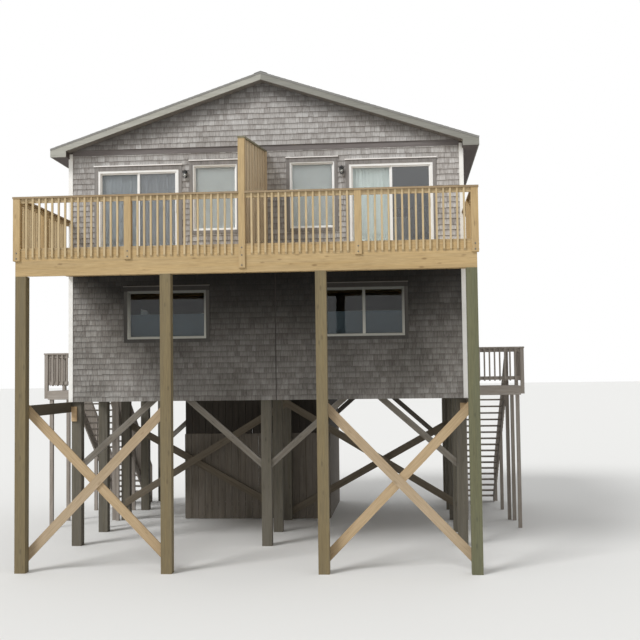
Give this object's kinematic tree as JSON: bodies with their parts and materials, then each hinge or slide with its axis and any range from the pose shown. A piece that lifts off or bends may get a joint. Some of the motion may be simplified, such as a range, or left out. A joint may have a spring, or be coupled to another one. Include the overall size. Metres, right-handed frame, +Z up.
{
  "type": "beach house on pilings",
  "caption": "Two-storey shingled beach house on tall timber pilings, with a raised front deck, braced posts, side landings and stairs.",
  "frame": {"origin": "ground level, under the middle of the box round the whole house, deck and stairs", "axes": "+Z up, -Y towards the deck and the front, +X to the right seen from the front"},
  "size_m": [12.32, 12.355, 10.8087],
  "materials": {
    "treated_post": "sawn, treated, greenish",
    "treated_lumber": "sawn, treated, new",
    "old_lumber": "sawn, weathered grey",
    "old_piling": "sawn, weathered grey",
    "screen_board": "vertical boards, treated",
    "landing_wood": "sawn, weathered grey",
    "weathered_casing": "weathered grey-brown",
    "old_board": "rough boards, weathered dark",
    "floor_board": "plain",
    "interior_paint": "matt paint",
    "cedar_shingle": "split shingles, weathered grey",
    "roof_shingle": "mineral-surfaced shingles",
    "weathered_trim": "weathered paint",
    "soffit_board": "dark stain",
    "white_trim": "white paint",
    "white_vinyl": "satin",
    "door_paint": "satin paint",
    "window_glass": "clear",
    "lantern_metal": "satin black"
  },
  "bodies": {
    "root": {"deck_posts": "treated_post", "deck_beam": "treated_lumber", "deck_frame": "treated_lumber", "deck_floor": "treated_lumber", "rail_posts": "treated_lumber", "front_rails": "treated_lumber", "side_rails": "treated_lumber", "rail_caps": "treated_lumber", "screen_post": "treated_lumber", "screen_cap": "screen_board", "screen_wall_board": "screen_board", "privacy_screen": "screen_board", "cross_braces_near": "treated_lumber", "cross_braces_far": "treated_lumber", "tie_beams": "old_lumber", "piling_cleats": "treated_lumber", "pilings_left": "old_piling", "pilings_centre": "old_piling", "pilings_right": "old_piling", "girders": "old_lumber", "knee_braces": "old_lumber", "rear_cross_braces": "old_lumber", "storage_walls": "old_board", "floor_joists": "old_lumber", "lower_floor": "floor_board", "upper_floor": "floor_board", "upper_ceiling": "interior_paint", "front_wall_lower": "cedar_shingle", "front_wall_upper": "cedar_shingle", "rear_wall_lower": "cedar_shingle", "rear_wall_upper": "cedar_shingle", "side_walls_lower": "cedar_shingle", "side_walls_upper": "cedar_shingle", "gables": "cedar_shingle", "gable_bands": "soffit_board", "roof_right": "roof_shingle", "roof_left": "roof_shingle", "ridge_cap": "roof_shingle", "rake_boards": "weathered_trim", "fascias": "weathered_trim", "soffits": "soffit_board", "corner_boards": "white_trim", "sliding_door_frames": "white_vinyl", "front_window_frames": "white_vinyl", "other_frames": "white_vinyl", "front_casings": "weathered_casing", "other_casings": "weathered_casing", "drip_caps": "white_trim", "entry_doors": "door_paint", "front_glass": "window_glass", "other_glass": "window_glass", "lanterns": "lantern_metal", "landings": "landing_wood", "landing_posts": "landing_wood", "landing_rails": "landing_wood", "landing_caps": "landing_wood", "stairs": "landing_wood", "stair_posts": "landing_wood", "stair_rails": "landing_wood"}
  },
  "joints": []
}
